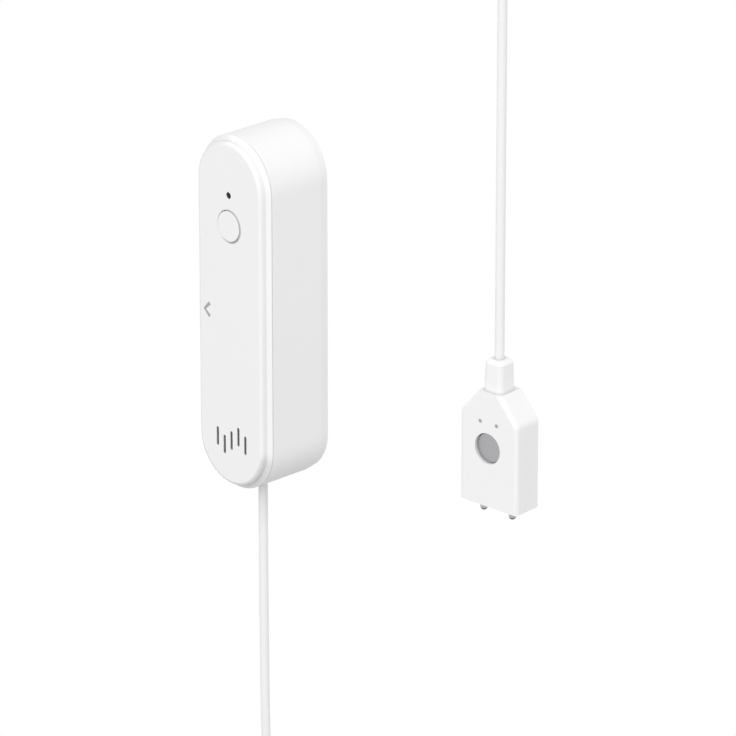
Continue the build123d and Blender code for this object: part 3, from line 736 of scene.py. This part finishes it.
def pointer_mark():
    tip, upper, lower = (Vector(place) for place in (MARK_TIP, MARK_UPPER, MARK_LOWER))
    half = MARK_WIDTH / 2
    beside = Vector((half * MITRE, 0.0))
    outer = [upper + Vector((-half, half)), tip - beside, lower + Vector((-half, -half))]
    inner = [upper + Vector((half, -half)), tip + beside, lower + Vector((half, half))]
    vertices = [(x * MM, (FACE_Y - MARK_DEPTH) * MM, z * MM) for x, z in outer + inner]
    mesh = bpy.data.meshes.new("pointer_mark")
    mesh.from_pydata(vertices, [], [(0, 1, 4, 3), (1, 2, 5, 4)])
    mark = put_in_scene("pointer_mark", mesh)
    solid = mark.modifiers.new("thickness", "SOLIDIFY")
    solid.thickness = MARK_DEPTH * MM
    mesh.materials.append(moulded("mark_ink", (0.4, 0.4, 0.4), 0.6))
    return mark


mark = pointer_mark()
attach(mark, "base")
print("pointer mark made")

# %% [markdown]
# ## The floor
#
# The photograph is a studio shot on pure white, with no shadow in the frame. A floor half
# a metre below and a world that both show white to the camera give the background. The
# light path node tells a camera ray, or one seen in gloss or through glass, from the rays
# that carry light. For those the floor is grey: it gives back less than half of the
# light, which leaves the undersides of the object greyer.

# %% Floor
FLOOR_Z = -0.45
FLOOR_REACH = 3.0
FLOOR_GREY = (0.4, 0.4, 0.4)


def white_to_camera(owner):
    paths = add_node(owner, "ShaderNodeLightPath")
    seen = add_node(owner, "ShaderNodeMath", operation="MAXIMUM")
    join(owner, paths.outputs["Is Camera Ray"], seen.inputs[0])
    join(owner, paths.outputs["Is Glossy Ray"], seen.inputs[1])
    both = add_node(owner, "ShaderNodeMath", operation="MAXIMUM")
    join(owner, seen.outputs[0], both.inputs[0])
    join(owner, paths.outputs["Is Transmission Ray"], both.inputs[1])
    return both.outputs[0]


def choose_shader(owner, carries_light, shows_white, output):
    choose = add_node(owner, "ShaderNodeMixShader")
    join(owner, white_to_camera(owner), choose.inputs["Fac"])
    join(owner, carries_light, choose.inputs[1])
    join(owner, shows_white, choose.inputs[2])
    join(owner, choose.outputs["Shader"], output.inputs["Surface"])


def pale_floor():
    far = FLOOR_REACH
    corners = [(-far, -far), (far, -far), (far, far), (-far, far)]
    mesh = bpy.data.meshes.new("pale_floor")
    mesh.from_pydata([(x, y, FLOOR_Z) for x, y in corners], [], [(0, 1, 2, 3)])
    material, shader = new_material("pale_floor", FLOOR_GREY, 0.9)
    white = add_node(material, "ShaderNodeEmission")
    white.inputs["Strength"].default_value = 1.0
    output = material.node_tree.nodes["Material Output"]
    choose_shader(material, shader.outputs["BSDF"], white.outputs["Emission"], output)
    mesh.materials.append(material)
    return put_in_scene("pale_floor", mesh)


pale_floor()
print("floor at", FLOOR_Z)

# %% [markdown]
# ## The world
#
# Soft light comes from all sides. At the horizon it leans to the right: half as strong
# again on the right and half as strong on the left, and the lean fades out towards the
# top. The strengths here and of the lamps below were found by rendering each light alone
# and solving for the mix that meets the greys of the picture.

# %% World
HORIZON = 0.91
ZENITH = 0.91
LEAN = 0.5


def studio_world():
    world = bpy.data.worlds.new("studio")
    bpy.context.scene.world = world
    world.use_nodes = True
    world.node_tree.nodes.clear()
    coordinates = add_node(world, "ShaderNodeTexCoord")
    direction = split(world, coordinates.outputs["Generated"])
    lean = add_node(world, "ShaderNodeMath", operation="MULTIPLY_ADD")
    join(world, direction["X"], lean.inputs[0])
    lean.inputs[1].default_value = HORIZON * LEAN
    lean.inputs[2].default_value = HORIZON
    fade = add_node(world, "ShaderNodeMapRange")
    join(world, lean.outputs[0], fade.inputs["To Min"])
    fade.inputs["To Max"].default_value = ZENITH
    join(world, direction["Z"], fade.inputs["Value"])
    light = add_node(world, "ShaderNodeBackground")
    light.inputs["Color"].default_value = (1.0, 1.0, 1.0, 1.0)
    join(world, fade.outputs["Result"], light.inputs["Strength"])
    white = add_node(world, "ShaderNodeBackground")
    white.inputs["Color"].default_value = (1.0, 1.0, 1.0, 1.0)
    white.inputs["Strength"].default_value = 1.0
    output = add_node(world, "ShaderNodeOutputWorld")
    choose_shader(world, light.outputs["Background"], white.outputs["Background"], output)


studio_world()
bpy.context.scene.view_settings.view_transform = "Standard"
print("world ready, horizon", HORIZON, "zenith", ZENITH, "lean", LEAN)

# %% [markdown]
# ## The lamps
#
# A wide lamp from the front and a weaker one from the upper right set the front, the side
# and the top apart by the few per cent that the picture shows. Both are large squares of
# about a metre, so that they cast no hard shadow, and both point between the unit and
# the probe.

# %% Lamps
LAMP_AIM = Vector((0.04, 0.0, 0.0))


def soft_lamp(name, place, size, watts):
    data = bpy.data.lights.new(name, "AREA")
    data.energy = watts
    data.size = size
    lamp = put_in_scene(name, data)
    lamp.location = place
    lamp.rotation_euler = (LAMP_AIM - Vector(place)).to_track_quat("-Z", "Y").to_euler()
    return lamp


key_lamp = soft_lamp("key", (1.32, -1.57, 1.43), 1.0, 7.4)
front_lamp = soft_lamp("front", (0.15, -2.4, 0.7), 1.2, 12.8)
print("lamps:", key_lamp.name, key_lamp.data.energy, "W,", front_lamp.name, front_lamp.data.energy, "W")
